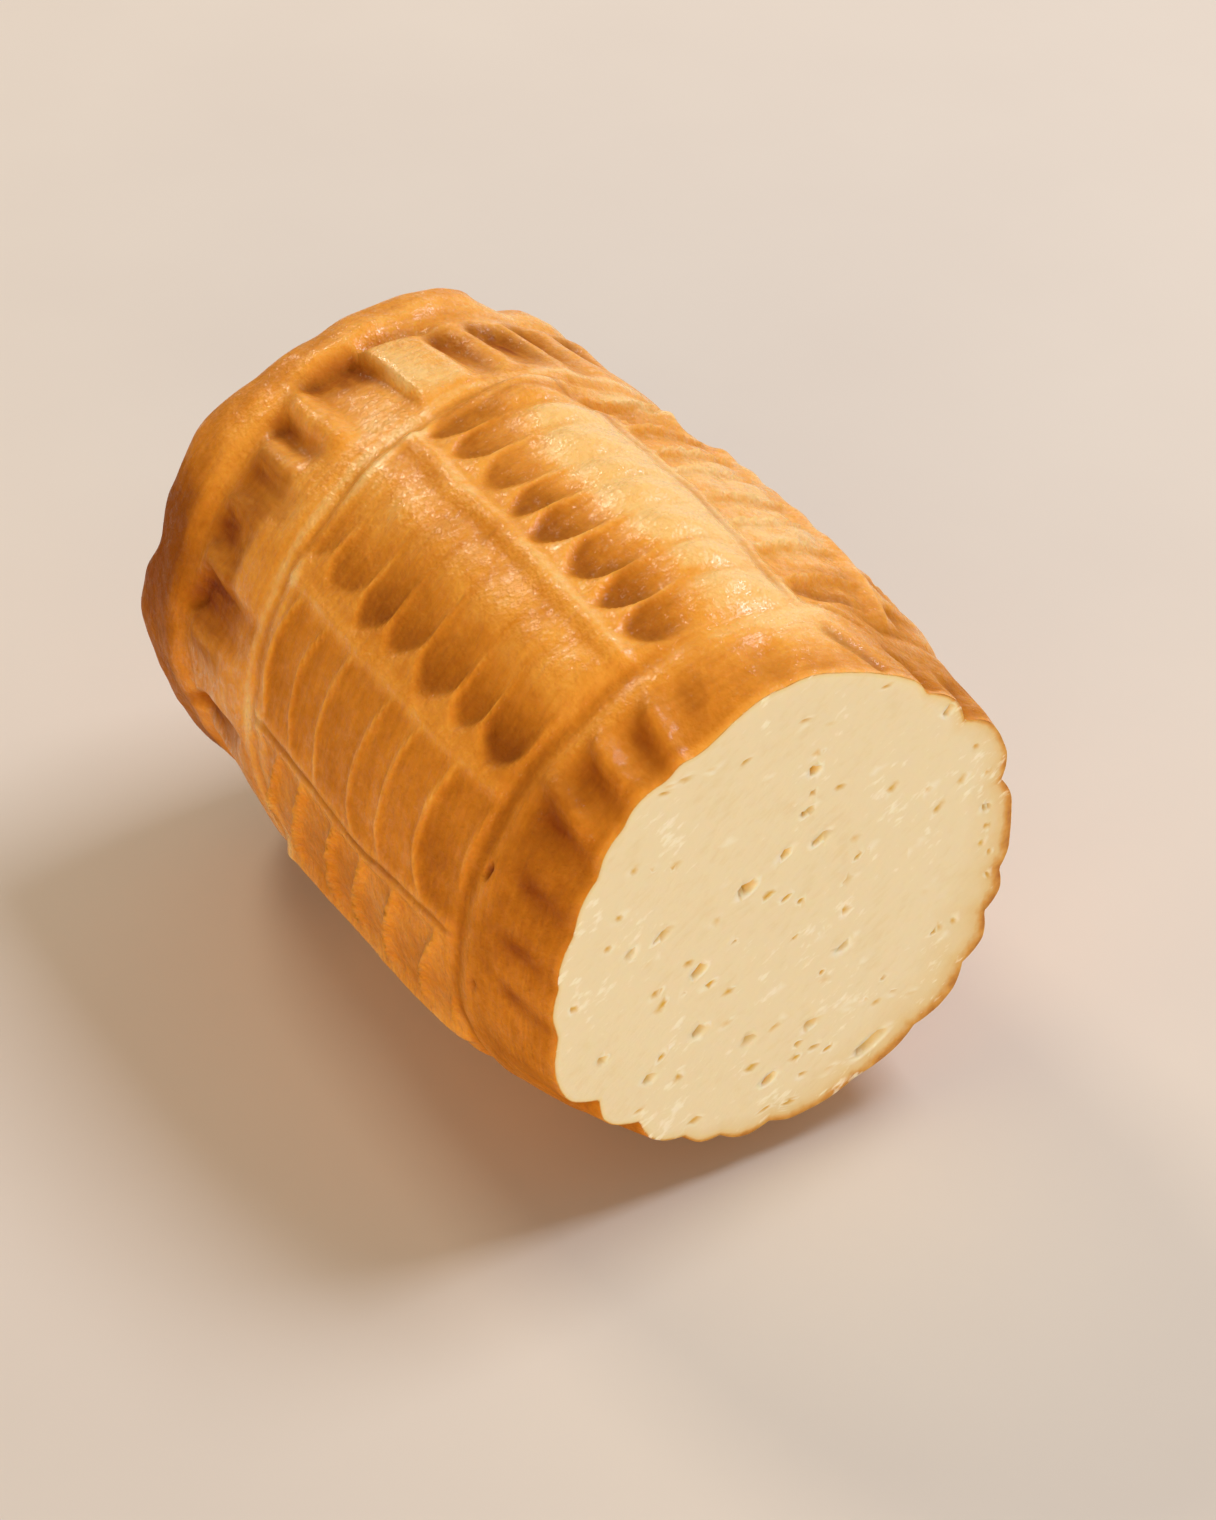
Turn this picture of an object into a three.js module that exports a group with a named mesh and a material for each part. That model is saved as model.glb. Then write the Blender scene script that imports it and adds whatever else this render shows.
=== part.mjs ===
// A smoked sheep's milk cheese, pressed in a carved wooden mould and cut across.
// It lies on its side: a barrel with a rounded rim at the back, a band of dents, a wide belt of
// panels filled with lobes, a second band of dents, and the flat cut face at the front.
// Units are millimetres, +Z is up, and +X runs from the rounded back to the cut face. The origin is
// under the middle of the cheese, on the surface that it rests on.
import * as THREE from "three";

// The barrel. Distances along it start at the back rim, and angles round it at +Y, rising to the
// top at 90 degrees.
const CUT_AT = 106.4;
const WIDEST_AT = 62;
const WIDEST_RADIUS = 41;
const BACK_TAPER = 3.8;
const FRONT_TAPER = 5.7;
const BACK_EDGE_AT = -2.5;
const BACK_EDGE_ROUND = 5;
const BACK_BULGE = 3.5;
const WOBBLE = { slow: 0.2, quick: 0.15 };

// The flat spot that it lies on, where the pattern is pressed smooth.
const REST = { depth: 0.9, angle: 270, half: 24 };

// The rim ring, and the lines that bound the belts. Each line leans a little, as in the mould.
const RIM_ROLL = 0.5;
const RIM_GROOVE = { at: 13, lean: 4.2, turn: 130, depth: 1.3, half: 2.8 };
const PANEL_BACK = { at: 34, lean: 3, turn: 130, depth: 0.8, half: 2.6 };
const PANEL_FRONT = { at: 88, lean: 5, turn: 10, depth: 0.9, half: 2.4 };

// The two bands of dents, evenly spaced round the barrel and a little uneven in size.
const DENT_COUNT = 28;
const DENT_STEP = 360 / DENT_COUNT;
const DENT_FADE = 3;
const DENT_VARIES = 0.3;
const BACK_DENT = { first: 72, half: 6.4, start: 1.5, length: 9, depth: 2 };
const FRONT_DENT = { first: 54.5, half: 6, start: 97, length: 7, depth: 1.5 };
const CUT_NOTCH = { turn: 130, shallow: 0.35, deep: 1.2 };

// One flat pad and the wide hollow beside it stand out in the back band.
const PAD = { from: 86, to: 103, height: 0.8 };
const HOLLOW = { from: 101, to: 119, depth: 1.4 };

// The panels: raised ridges run along the barrel, with lobes side by side between them. Shares are
// parts of the way across a panel.
const PANEL_COUNT = 11;
const SEEN_RIDGES = [75, 107.5, 142.5, 176];
const RIDGE = { drift: 0.07, height: 0.9, after: 0.16, before: 0.08 };
const LOBE = { step: 7.7, swell: 0.7, swellAt: 0.38, swellHalf: 0.36, sink: 1.3, sinkFrom: 0.5 };
const LOBE_TIP = { from: 0.7, deepest: 0.88, end: 0.95 };
const SEEN_LOBES = [
  { centre: 43, lean: 3 },
  { centre: 46, lean: 1 },
  { centre: 44, lean: 0 },
  { centre: 48.3, lean: -8 },
];
const UNSEEN_LOBES = { centre: 44, centreVaries: 3.8, leanVaries: 6 };

// How finely each stretch is divided into rows, and each panel into columns.
const PANEL_COLUMNS = [0, 0.05, 0.16, 0.3, 0.45, 0.6, 0.74, 0.86, 0.95];
const RIM_ROWS = [0, 0.05, 0.14, 0.3, 0.6, 0.85];
const BACK_BAND_ROWS = [0, 0.08, 0.18, 0.3, 0.44, 0.6, 0.8];
const LOBE_ROWS = 4;
const PANEL_ROW_COUNT = 30;
const ROW_BLEND = 0.27;
const FRONT_BAND_ROWS = [0, 0.16, 0.34, 0.54, 0.76, 1];
const BACK_CAP_RINGS = [0, 0.5, 0.85];
const CUT_FACE_RINGS = [0.8, 0.4, 0];

const RIND = { color: 0xd28a3a, roughness: 0.42, metalness: 0 };

const MIDDLE_AT = (CUT_AT + BACK_EDGE_AT - BACK_BULGE) / 2;
const AXIS_HEIGHT = WIDEST_RADIUS - REST.depth;
const RIDGES = ridgeAngles();
const { clamp, degToRad, lerp, smoothstep } = THREE.MathUtils;

// A repeatable unevenness between -1 and 1: a large multiple of a sine looks random.
function uneven(number, salt) {
  const spread = Math.sin(number * 12.9898 + salt * 78.233) * 43758.5453;
  return 2 * (spread - Math.floor(spread)) - 1;
}

function wrap(angle, from) {
  return ((((angle - from) % 360) + 360) % 360) + from;
}

// The signed angle from one direction to another.
function angleBetween(from, to) {
  return wrap(to - from, -180);
}

// A smooth bump of height 1 at zero that ends at the half width.
function bump(distance, half) {
  const reach = Math.abs(distance) / half;
  return reach < 1 ? 0.5 + 0.5 * Math.cos(Math.PI * reach) : 0;
}

// A flat-topped bump between two ends, with faded edges inside them.
function plateau(value, from, to, fade) {
  return smoothstep(value, from, from + fade) * (1 - smoothstep(value, to - fade, to));
}

function lineAt(line, angle) {
  return line.at + line.lean * Math.sin(degToRad(angle - line.turn));
}

function barrelRadius(along) {
  const backShare = Math.max(WIDEST_AT - along, 0) / WIDEST_AT;
  const frontShare = Math.max(along - WIDEST_AT, 0) / (CUT_AT - WIDEST_AT);
  return WIDEST_RADIUS - BACK_TAPER * backShare ** 2 - FRONT_TAPER * frontShare ** 2;
}

// The hand-pressed barrel is never quite round.
function wobbleRelief(along, angle) {
  const slow = Math.sin(degToRad(2 * angle + along + 40));
  const quick = Math.sin(degToRad(5 * angle - 2 * along + 110));
  return WOBBLE.slow * slow + WOBBLE.quick * quick;
}

function rimRelief(along, angle) {
  const groove = lineAt(RIM_GROOVE, angle);
  const share = clamp((along - BACK_EDGE_AT) / (groove - BACK_EDGE_AT), 0, 1);
  const intoRound = clamp((BACK_EDGE_AT + BACK_EDGE_ROUND - along) / BACK_EDGE_ROUND, 0, 1);
  const rounding = BACK_EDGE_ROUND * (1 - Math.sqrt(1 - intoRound ** 2));
  return RIM_ROLL * Math.sin(Math.PI * share) - rounding;
}

function grooveRelief(along, angle) {
  return [RIM_GROOVE, PANEL_BACK, PANEL_FRONT].reduce(
    (sum, line) => sum - line.depth * bump(along - lineAt(line, angle), line.half),
    0,
  );
}

function backBandRelief(along, angle) {
  const start = lineAt(RIM_GROOVE, angle) + BACK_DENT.start;
  const end = lineAt(PANEL_BACK, angle);
  const pad = PAD.height * plateau(angle, PAD.from, PAD.to, DENT_FADE);
  const hollow = HOLLOW.depth * plateau(angle, HOLLOW.from, HOLLOW.to, DENT_FADE);
  let relief = (pad - hollow) * plateau(along, start, end, DENT_FADE);
  for (let k = 0; k < DENT_COUNT; k += 1) {
    const centre = BACK_DENT.first + k * DENT_STEP;
    const onPad = centre > PAD.from && centre < HOLLOW.to;
    if (!onPad) {
      const length = BACK_DENT.length * (1 + DENT_VARIES * uneven(k, 1));
      const depth = BACK_DENT.depth * (1 + DENT_VARIES * uneven(k, 2));
      const beside = bump(angleBetween(centre, angle), BACK_DENT.half);
      relief -= depth * beside * plateau(along, start, start + length, DENT_FADE);
    }
  }
  return relief;
}

// Dents in the front band. The cut runs through them, which scallops the cut face's edge.
function frontBandRelief(along, angle) {
  const away = 0.5 - 0.5 * Math.cos(degToRad(angle - CUT_NOTCH.turn));
  const depthAtCut = lerp(CUT_NOTCH.shallow, CUT_NOTCH.deep, away);
  const end = FRONT_DENT.start + FRONT_DENT.length;
  const toCut = smoothstep(along, end - DENT_FADE, CUT_AT);
  const rise = smoothstep(along, FRONT_DENT.start, FRONT_DENT.start + DENT_FADE);
  let relief = 0;
  for (let k = 0; k < DENT_COUNT; k += 1) {
    const depth = FRONT_DENT.depth * (1 + DENT_VARIES * uneven(k, 3));
    const beside = bump(angleBetween(FRONT_DENT.first + k * DENT_STEP, angle), FRONT_DENT.half);
    relief -= beside * rise * lerp(depth, depthAtCut, toCut);
  }
  return relief;
}

// Ridge angles at the widest place: those that are seen, then the rest at even steps.
function ridgeAngles() {
  const ridges = [...SEEN_RIDGES];
  const last = SEEN_RIDGES.at(-1);
  const step = (SEEN_RIDGES[0] + 360 - last) / (PANEL_COUNT - SEEN_RIDGES.length + 1);
  while (ridges.length < PANEL_COUNT) {
    ridges.push(last + step * (ridges.length - SEEN_RIDGES.length + 1));
  }
  return ridges;
}

function panelWidth(k) {
  const next = k + 1 < PANEL_COUNT ? RIDGES[k + 1] : RIDGES[0] + 360;
  return next - RIDGES[k];
}

// Which panel an angle is in, and the share of the way across it.
function panelPlace(along, angle) {
  const settled = wrap(angle - RIDGE.drift * (along - WIDEST_AT), RIDGES[0]);
  const k = RIDGES.findLastIndex((ridge) => ridge <= settled);
  return { k, across: (settled - RIDGES[k]) / panelWidth(k) };
}

// The middle of a panel's reference lobe, which leans to one side on its way across the panel.
function lobeCentre(k, across) {
  const seen = SEEN_LOBES[k];
  const centre = seen?.centre ?? UNSEEN_LOBES.centre + UNSEEN_LOBES.centreVaries * uneven(k, 4);
  const lean = seen?.lean ?? UNSEEN_LOBES.leanVaries * uneven(k, 5);
  return centre + lean * (across - 0.5);
}

// Each lobe swells in the middle of its panel and sinks to a round tip beside the next ridge.
function lobeRelief(along, k, across) {
  const steps = (along - lobeCentre(k, across)) / LOBE.step;
  const aside = 2 * Math.abs(steps - Math.round(steps));
  const intoTip = clamp((across - LOBE_TIP.from) / (LOBE_TIP.end - LOBE_TIP.from), 0, 1);
  const halfWidth = Math.sqrt(1 - intoTip ** 2);
  const crown = aside < halfWidth ? 1 - (aside / halfWidth) ** 2 : 0;
  const swell = LOBE.swell * bump(across - LOBE.swellAt, LOBE.swellHalf);
  const sink = LOBE.sink * smoothstep(across, LOBE.sinkFrom, LOBE_TIP.deepest);
  return (swell - sink) * crown;
}

function panelRelief(along, angle) {
  const { k, across } = panelPlace(along, angle);
  const ridge = Math.max(bump(across, RIDGE.after), bump(1 - across, RIDGE.before));
  const from = lineAt(PANEL_BACK, angle);
  const to = lineAt(PANEL_FRONT, angle);
  const pressed = 1 - bump(angleBetween(REST.angle, angle), REST.half);
  const relief = RIDGE.height * ridge + lobeRelief(along, k, across);
  return relief * pressed * plateau(along, from, to, 2 * DENT_FADE);
}

function surfaceRadius(along, angle) {
  return (
    barrelRadius(along) +
    wobbleRelief(along, angle) +
    rimRelief(along, angle) +
    grooveRelief(along, angle) +
    backBandRelief(along, angle) +
    panelRelief(along, angle) +
    frontBandRelief(along, angle)
  );
}

// Columns of the mesh: even round the ends, and set to the ridges and lobe tips across the panels.
function meshColumns() {
  const columns = [];
  const count = PANEL_COUNT * PANEL_COLUMNS.length;
  for (let i = 0; i <= count; i += 1) {
    const k = Math.floor(i / PANEL_COLUMNS.length) % PANEL_COUNT;
    const across = PANEL_COLUMNS[i % PANEL_COLUMNS.length];
    const turn = i === count ? 360 : 0;
    columns.push({
      k,
      across,
      even: RIDGES[0] + (360 * i) / count,
      onPanel: RIDGES[k] + across * panelWidth(k) + turn,
    });
  }
  return columns;
}

// A row of the mesh is a rule that gives, in each column, a place along the barrel and the share of
// the surface's radius there.
function stretchRows(shares, from, to) {
  return shares.map((share) => (column) => ({
    along: lerp(from(column), to(column), share),
    share: 1,
  }));
}

// Rows across the panels keep to the lobes, with a fixed number of rows to each lobe.
function lobeRows(from, to) {
  const rowStep = LOBE.step / LOBE_ROWS;
  return Array.from({ length: PANEL_ROW_COUNT }, (_, row) => (column) => {
    const share = row / PANEL_ROW_COUNT;
    const even = lerp(from(column), to(column), share);
    const middle = lerp(from(column), to(column), 0.5);
    const reference = lobeCentre(column.k, 0.5);
    const nearest = reference + rowStep * Math.round((middle - reference) / rowStep);
    const lean = lobeCentre(column.k, column.across) - reference;
    const leanHere = lean * plateau(column.across, 0, 1, ROW_BLEND);
    const onLobes = nearest + leanHere + rowStep * (row - PANEL_ROW_COUNT / 2);
    return { along: lerp(even, onLobes, plateau(share, 0, 1, ROW_BLEND)), share: 1 };
  });
}

function meshRows() {
  const backEdge = () => BACK_EDGE_AT;
  const rimEnd = (column) => lineAt(RIM_GROOVE, column.even);
  const panelStart = (column) => lineAt(PANEL_BACK, column.even);
  const panelEnd = (column) => lineAt(PANEL_FRONT, column.even);
  const cut = () => CUT_AT;
  const backCap = BACK_CAP_RINGS.map((share) => () => ({
    along: BACK_EDGE_AT - BACK_BULGE * (1 - share ** 2),
    share,
  }));
  const cutFace = CUT_FACE_RINGS.map((share) => () => ({ along: CUT_AT, share }));
  return [
    ...backCap,
    ...stretchRows(RIM_ROWS, backEdge, rimEnd),
    ...stretchRows(BACK_BAND_ROWS, rimEnd, panelStart),
    ...lobeRows(panelStart, panelEnd),
    ...stretchRows(FRONT_BAND_ROWS, panelEnd, cut),
    ...cutFace,
  ];
}

function surfacePoint(column, place) {
  const along = clamp(place.along, BACK_EDGE_AT, CUT_AT);
  const from = lineAt(PANEL_BACK, column.even) - DENT_FADE;
  const to = lineAt(PANEL_FRONT, column.even) + DENT_FADE;
  const onPanel = column.onPanel + RIDGE.drift * (along - WIDEST_AT);
  const angle = lerp(column.even, onPanel, plateau(along, from, to, 2 * DENT_FADE));
  const radius = place.share * surfaceRadius(along, angle);
  const height = AXIS_HEIGHT + radius * Math.sin(degToRad(angle));
  return new THREE.Vector3(
    place.along - MIDDLE_AT,
    radius * Math.cos(degToRad(angle)),
    Math.max(height, 0),
  );
}

// The barrel is a lathe shape whose points are then moved onto the moulded surface.
function cheeseGeometry() {
  const rows = meshRows();
  const columns = meshColumns();
  const profile = rows.map((row) => {
    const { along, share } = row(columns[0]);
    return new THREE.Vector2(share * barrelRadius(along), along);
  });
  const geometry = new THREE.LatheGeometry(profile, columns.length - 1);
  const points = geometry.getAttribute("position");
  columns.forEach((column, i) => {
    rows.forEach((row, j) => {
      const point = surfacePoint(column, row(column));
      points.setXYZ(i * rows.length + j, point.x, point.y, point.z);
    });
  });
  geometry.computeVertexNormals();
  return geometry;
}

const cheese = new THREE.Mesh(cheeseGeometry(), new THREE.MeshStandardMaterial(RIND));
cheese.name = "cheese";

const oscypek = new THREE.Group();
oscypek.add(cheese);

export default oscypek;
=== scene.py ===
# The looks of a smoked sheep's milk cheese that was pressed in a carved wooden mould and cut across.
# Shapes are worked out in millimetres and degrees, and scaled to metres when the mesh is finished.
# Places along the barrel are counted from near its back edge, and angles round it from +Y to the top at 90.
import math
import random

import bmesh
import bpy
import numpy as np
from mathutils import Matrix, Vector, noise


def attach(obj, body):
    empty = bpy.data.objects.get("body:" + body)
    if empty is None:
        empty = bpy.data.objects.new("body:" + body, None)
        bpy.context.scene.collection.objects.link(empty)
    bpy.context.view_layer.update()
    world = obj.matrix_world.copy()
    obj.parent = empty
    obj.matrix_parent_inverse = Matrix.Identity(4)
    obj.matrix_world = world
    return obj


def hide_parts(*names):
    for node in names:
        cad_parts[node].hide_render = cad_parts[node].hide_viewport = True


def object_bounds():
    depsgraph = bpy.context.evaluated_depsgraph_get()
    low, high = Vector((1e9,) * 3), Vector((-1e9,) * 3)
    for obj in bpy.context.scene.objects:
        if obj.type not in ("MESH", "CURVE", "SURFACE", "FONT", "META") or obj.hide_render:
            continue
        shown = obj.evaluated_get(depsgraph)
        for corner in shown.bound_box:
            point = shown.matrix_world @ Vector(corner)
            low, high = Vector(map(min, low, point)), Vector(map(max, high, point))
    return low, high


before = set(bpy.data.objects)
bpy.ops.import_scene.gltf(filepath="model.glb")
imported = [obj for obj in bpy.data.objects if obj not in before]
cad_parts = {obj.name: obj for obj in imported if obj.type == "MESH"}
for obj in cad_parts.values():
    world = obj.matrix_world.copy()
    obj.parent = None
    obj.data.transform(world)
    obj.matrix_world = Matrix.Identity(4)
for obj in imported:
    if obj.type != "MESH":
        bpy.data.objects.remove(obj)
cad_low, cad_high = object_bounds()

MM = 0.001

# The barrel
CUT_AT = 106.4
CAP = {"tone": 0.5, "lumps": 0.7, "lump_size": 13, "salt": 9}
WIDEST_AT = 62
WIDEST_RADIUS = 41
BACK_TAPER = 3.8
FRONT_TAPER = 5.7
BACK_EDGE_AT = -2.5
BACK_EDGE_ROUND = 5
BACK_BULGE = 3.5
REST = {"depth": 0.9, "angle": 270, "half": 24}
MIDDLE_AT = CUT_AT - cad_high.x / MM
AXIS_HEIGHT = WIDEST_RADIUS - REST["depth"]

# Slow and quick waves of the barrel: height, turns round it, degrees for each mm along it, and start
WOBBLES = [(0.2, 2, 1, 40), (0.15, 5, -2, 110)]

# The rim ring, and the lines that bound the belts, which lean a little as in the mould
RIM_ROLL = 0.5
RIM_CORNER = {"angle": 68, "rise": 17, "drop": 4, "to": 9, "height": 1.2}
RIM_EDGE = {"wave": 1.3, "size": 12, "salt": 8, "notch": 161, "half": 11, "depth": 2.4, "to": 10}
RIM_WAVE = {"slow": 0.9, "slow_size": 13, "slow_salt": 5, "quick": 0.35, "quick_size": 5, "quick_salt": 6}
RIM_FADE = 4
RIM_GROOVE = {"at": 12, "lean": 4.2, "turn": 130, "depth": 0.8, "half": 3.6}
PANEL_BACK = {"at": 33.6, "lean": 4, "turn": 135, "depth": 0.6, "half": 3.0}
PANEL_FRONT = {"at": 88, "lean": 5, "turn": 10, "depth": 0.6, "half": 2.8}
RUBBED_TOP = {"from": 40, "full": 60, "fade": 98, "to": 118, "share": 0.7}

# Beads along the belt's back line: how far from it, half width and height, and how much lighter they are
BEADS = [(-0.4, 1.9, 0.3), (3.2, 1.7, 0.22)]
BEAD_LIGHTER = 0.2

# Dents of the back band that show: angle, half width, from, to, depth, how much stain and painted shade
# they hold, and their slant
SEEN_BACK_DENTS = [
    (62.0, 4.7, 9.0, 31, 2.0, 0.9, 0.0),
    (72.5, 5.2, 12.0, 28.5, 2.1, 1.0, 0.2),
    (84.3, 4.2, 11.5, 29, 1.9, 0.8, 0.15),
    (124.0, 3.6, 10.0, 25.5, 1.7, 1.0, 0.0),
    (135.8, 5.0, 12.5, 30, 1.1, 0.75, 0.0),
    (147.5, 5.4, 13.0, 26, 1.5, 0.95, 0.0),
    (161.0, 6.2, 13.5, 35, 2.2, 1.0, 0.3),
    (175.0, 5.0, 16.0, 26, 0.4, 0.2, 0.0),
    (187.5, 6.5, 15.0, 31, 2.0, 0.95, 0.75),
]
UNSEEN_BACK_DENTS = {"count": 17, "half": 5.2, "start": 1.5, "length": 15, "depth": 1.7, "stain_and_shade": 0.85,
                     "slant": 0.4}
DENT_WALL = 3.5
DENT_SIDE = 4.5
DENT_SPREAD = 1
DENT_VARIES = 0.35
DENT_FLOOR = 0.3
# Soot and painted shade reach this far before each dent's start and after its end
SOOT_AND_SHADE = {"before": 1, "after": 3}

# Rounded bars beside the dents: angle, half width, from, to and height
BARS = [
    (118.0, 5.4, 9.0, 29, 1.4),
    (129.8, 5.0, 12.0, 25, 1.0),
    (155.4, 4.0, 16.0, 26, 0.35),
    (117.0, 3.8, 96.0, 108, 1.1),
    (128.8, 3.9, 94.5, 106, 1.4),
    (140.8, 3.9, 93.0, 105, 1.4),
]
BAR_END = 4

# The knuckles of the front band lean by this many degrees for each mm towards the cut
FRONT_LEAN = 0.35
FRONT_LEAN_FROM = 100

# Folds and pits of the skin: where each starts and ends, along and angle, its half width, depth, and the
# stain and painted shade in it
CREASES = [
    (98.5, 73.0, 104.5, 66.5, 2.3, 0.7, 0.5),
    (99.5, 56.0, 104.0, 49.0, 2.3, 0.8, 0.5),
    (88.2, 70.0, 88.0, 54.0, 1.3, 0.6, 0.35),
    (91.7, 72.5, 94.8, 60.5, 1.3, 0.6, 0.2),
    (9.8, 98.0, 10.8, 85.0, 2.2, 1.1, 0.3),
    (92.6, 159.8, 92.2, 162.2, 1.0, 0.9, 1.0),
    (91.8, 187.2, 91.2, 188.8, 0.9, 0.7, 0.8),
]
DEGREE_LENGTH = math.radians(WIDEST_RADIUS)

# The smoke's tint over the back band's edge, between two angles, partly painted shade on the side away
# from the light
BAND_STAIN_AND_SHADE = {"from": 124, "to": 178, "fade": 8, "length": 14, "soft": 3, "stain_and_shade": 0.6}

# The flat pad in the back band and the hollow ramp beside it
PAD = {"from": 87.5, "to": 101.8, "side": 3, "edge": 0.7, "start": 12.5, "slant": -0.32, "rise": 3.5,
       "end": 33, "fade": 8, "low": 0.6, "high": 1.0}
HOLLOW = {"from": 101.4, "to": 117.0, "before": 0.7, "after": 0.9, "side": 3.5, "start": 7.0, "end": 32,
          "fade": 6, "deep": 2.5, "shallow": 0.2, "curve": 0.7, "eases": 0.35}
# Stain and painted shade in the hollow and on the pad's wall, where shade falls
HOLLOW_STAIN_AND_SHADE = {"to": 17.5, "slant": -0.3, "before": 2, "after": 3, "stain_and_shade": 0.75}
WALL_STAIN_AND_SHADE = {"aside": 1, "half": 3.0, "to": 22, "stain_and_shade": 0.5}

# Dents of the front band: angle, half width, start, depth, the depth of the notch that each leaves
# at the cut, and its stain and painted shade
FRONT_DENTS = [
    (11.0, 7.0, 97.0, 0.9, 1.6, 0.3),
    (35.0, 7.0, 97.0, 1.2, 1.9, 0.3),
    (50.0, 6.0, 97.0, 0.8, 1.0, 0.3),
    (90.5, 6.0, 96.0, 0.8, 0.3, 0.05),
    (109.5, 6.5, 95.5, 0.5, 0.2, 0.3),
    (122.5, 5.2, 96.5, 0.9, 0.4, 0.6),
    (134.5, 5.8, 95.0, 0.9, 0.5, 0.8),
    (147.3, 5.8, 94.0, 0.9, 0.6, 0.9),
    (161.0, 6.0, 95.0, 0.35, 0.4, 0.75),
    (174.0, 6.0, 95.0, 0.35, 0.5, 0.8),
    (187.0, 6.0, 95.0, 0.4, 0.4, 0.75),
    (210.0, 6.0, 97.0, 1.0, 2.0, 0.4),
    (225.0, 7.0, 97.0, 1.0, 1.9, 0.4),
    (240.0, 5.5, 97.0, 0.7, 1.0, 0.4),
    (251.0, 5.5, 97.0, 0.7, 1.0, 0.4),
    (264.0, 6.0, 97.0, 0.7, 1.1, 0.4),
    (287.0, 8.0, 97.0, 0.4, 0.5, 0.4),
    (305.0, 7.0, 97.0, 0.8, 1.1, 0.4),
    (322.0, 6.5, 97.0, 0.9, 1.4, 0.4),
    (335.0, 6.5, 97.0, 0.9, 1.5, 0.4),
    (347.0, 5.5, 97.0, 0.8, 1.0, 0.4),
]
FRONT_DENT_SHARP = 1.5
FRONT_DENT_LENGTH = 8
FRONT_DENT_FADE = 4
# The stain and painted shade of each front dent sit to its shaded side
FRONT_STAIN_AND_SHADE = {"turn": -2.0, "half": 0.75, "fades": 0.8}

# The panels: raised ridges run along the barrel, with lobes side by side between them.
# A ridge has an angle at the widest place, a drift in degrees for each mm, a height, two half widths as
# shares of a panel, and the stain of its seam, partly painted shade. Below a height of 0 it is a groove.
# Its panel has a swell, the depth of its scoops, the middle of one lobe, the lobes' step, lean, bend and bow,
# how full its puffs are and how high its veins. Lobes with tips end short of the next ridge, and a tip has
# its place across the lobe and its point. Some panels are browner, some have painted shade beside their
# first ridge, and some fade towards the back.
PANEL_COUNT = 11
SEEN_PANELS = [
    {"ridge": 75.0, "drift": 0.05, "height": -0.2, "before": 0.03, "after": 0.05, "seam": 0.35, "swell": 1.2,
     "scoop": 1.0, "centre": 43.4, "step": 7.5, "lean": 0, "bend": 4, "bow": 0, "puff": 1.0, "vein": 0.16,
     "tips": True, "tip": 0.5, "point": 0.2, "faint": 0.25},
    {"ridge": 110.5, "drift": 0.078, "height": 0.9, "before": 0.07, "after": 0.14, "seam": 0, "swell": 0.8,
     "scoop": 0.85, "centre": 45.6, "step": 8.1, "lean": 0, "bend": 3, "bow": 0, "puff": 0.3, "vein": 0.08,
     "tips": True, "tip": 0.42, "point": 0.17, "faint": 0.35, "shade": 0.2, "tone": 0.2},
    {"ridge": 145.0, "drift": 0.07, "height": 0.3, "before": 0.05, "after": 0.06, "seam": 0, "swell": 0.2,
     "scoop": 0.4, "centre": 42.5, "step": 8.25, "lean": 0, "bend": 0, "bow": 2.2, "puff": 0.0, "vein": 0.16,
     "tips": False, "brown": 0.45},
    {"ridge": 175.5, "drift": 0.14, "height": -0.35, "before": 0.04, "after": 0.04, "seam": 0.6,
     "swell": 0.25, "scoop": 0.9, "centre": 44.6, "step": 7.8, "lean": -10, "bend": 0, "bow": 0,
     "puff": 0.0, "vein": 0.26, "tips": False, "brown": -0.05},
]
LIMB_PANEL = {"ridge": 403.0, "drift": 0.06, "height": 0.4, "before": 0.06, "after": 0.08, "seam": 0,
              "swell": 0.3, "scoop": 1.1, "centre": 43.0, "step": 6.4, "lean": 5, "bend": 0, "bow": 0,
              "puff": 1.2, "vein": 0.2, "tips": False, "brown": -0.05}
UNSEEN_PANEL = {"drift": 0.07, "height": 0.6, "before": 0.06, "after": 0.1, "seam": 0, "swell": 0.6,
                "scoop": 1.1, "centre": 44.0, "step": 7.8, "lean": 5, "bend": 3, "bow": 0, "puff": 0.5,
                "vein": 0.1, "tips": True, "tip": 0.46, "point": 0.2}
UNSEEN_VARIES = {"centre": 3.8, "scoop": 0.3}
PANEL_EDGE = {"past": 0.5, "fade": 4}

# The form of every lobe, mostly in shares across its panel: 0 at the first ridge and 1 at the next
LOBE = {"swell_at": 0.28, "swell_half": 0.34, "sink_from": 0.36, "deepest": 0.86, "sharp": 6.0, "skew": 0.88,
        "varies": 0.3, "width_varies": 0.09, "width_turn": 2.3, "width_start": 2}
MOST_LOBES = 10
LOBE_TIP = {"end": 0.965, "varies": 0.02, "aside": 0.08, "round": 1.9, "wall": 0.1}
LOBE_EDGES = {"dip": (0.02, 0.98, 0.15), "brown": (0.02, 0.98, 0.1), "vein": (0.03, 0.95, 0.12)}
# How the tongues turn browner across the panel and keep off the crest lines, and how much browner one side of
# a tongueless lobe is: painted shade, partly the smoke's tone
LOBE_BROWN = {"from": 0.4, "to": 0.85, "line": (0.1, 0.55), "fade": 0.5}
LOBE_FAINT = (40, 74)
# Painted shade along the creases between the crown's fingers: how brown, half width, place across and reach
FINGER = {"brown": 0.25, "half": 1.4, "at": 0.34, "reach": 0.28}
SEAM_HALF = 0.05
RIDGE_SHADE = {"at": 0.08, "half": 0.09}
VEIN_HALF = 0.7

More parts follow.
